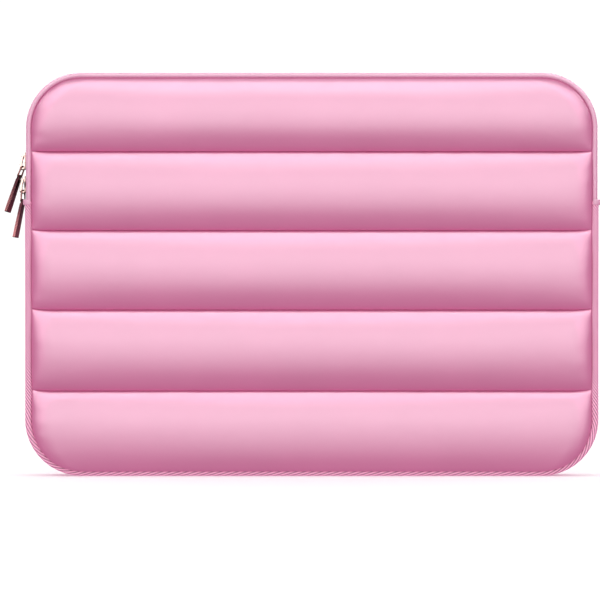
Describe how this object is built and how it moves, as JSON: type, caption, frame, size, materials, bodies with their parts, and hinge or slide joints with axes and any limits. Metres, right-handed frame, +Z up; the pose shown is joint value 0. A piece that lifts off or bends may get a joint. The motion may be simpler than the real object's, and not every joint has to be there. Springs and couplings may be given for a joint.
{
  "type": "laptop sleeve",
  "caption": "Padded zip laptop sleeve with horizontally quilted puffed panels, a fabric gusset and bar pulls on its two zip sliders.",
  "frame": {"origin": "middle of the flat underside of the gusset, on which the sleeve stands upright", "axes": "+X along the sleeve's width to the viewer's right, -Y out of the front panel, +Z up towards the zipped edge"},
  "size_m": [0.3687, 0.037, 0.25],
  "materials": {
    "shell": "satin woven nylon",
    "lining": "matte brushed cloth",
    "wadding": "matte fleece",
    "binding": "matte twill tape",
    "lip": "satin",
    "zip_tape": "matte woven tape",
    "zip_coil": "satin nylon",
    "metal": "polished rose gold plating"
  },
  "bodies": {
    "pocket": {"front_pocket_shell": "shell", "front_pocket_wadding": "wadding", "front_pocket_lining": "lining", "back_shell": "shell", "back_wadding": "wadding", "back_lining": "lining", "gusset_shell": "shell", "gusset_lining": "lining", "front_binding": "binding", "back_binding": "binding", "back_lip": "lip", "front_lip_left": "lip", "front_lip_right": "lip", "zip_tape_back": "zip_tape", "zip_tape_front_left": "zip_tape", "zip_tape_front_right": "zip_tape", "zip_coil_back": "zip_coil", "zip_coil_front_left": "zip_coil", "zip_coil_front_right": "zip_coil", "zip_end_tab_left": "binding", "zip_end_tab_right": "binding"},
    "front_flap": {"front_flap_shell": "shell", "front_flap_wadding": "wadding", "front_flap_lining": "lining", "front_lip_top": "lip", "zip_tape_front_top": "zip_tape", "zip_coil_front_top": "zip_coil"},
    "slider_upper": {"zip_slider_upper": "metal"},
    "link_upper": {"pull_link_upper": "metal"},
    "blade_upper": {"pull_blade_upper": "metal"},
    "slider_lower": {"zip_slider_lower": "metal"},
    "link_lower": {"pull_link_lower": "metal"},
    "blade_lower": {"pull_blade_lower": "metal"}
  },
  "joints": [
    {"name": "flap_fold", "type": "hinge", "parent": "pocket", "child": "front_flap", "pos_m": [0, -0.0124, 0.2012], "axis": [1, 0, 0], "range_deg": [0, 70]},
    {"name": "slider_upper_slide", "type": "slide", "parent": "pocket", "child": "slider_upper", "axis": [0, 0, 1], "range_m": [0, 0.013]},
    {"name": "slider_lower_slide", "type": "slide", "parent": "pocket", "child": "slider_lower", "axis": [0, 0, 1], "range_m": [-0.0015, 0.001]},
    {"name": "link_upper_swing", "type": "hinge", "parent": "slider_upper", "child": "link_upper", "pos_m": [-0.1794, 0, 0.19165], "axis": [0, 1, 0], "range_deg": [0, 110]},
    {"name": "blade_upper_swing", "type": "hinge", "parent": "link_upper", "child": "blade_upper", "pos_m": [-0.18187, 0, 0.18521], "axis": [0, 1, 0], "range_deg": [0, 55]},
    {"name": "link_lower_swing", "type": "hinge", "parent": "slider_lower", "child": "link_lower", "pos_m": [-0.1794, 0, 0.177], "axis": [0, 1, 0], "range_deg": [0, 8]},
    {"name": "blade_lower_swing", "type": "hinge", "parent": "link_lower", "child": "blade_lower", "pos_m": [-0.17964, 0, 0.1701], "axis": [0, 1, 0], "range_deg": [-8, 12]}
  ]
}
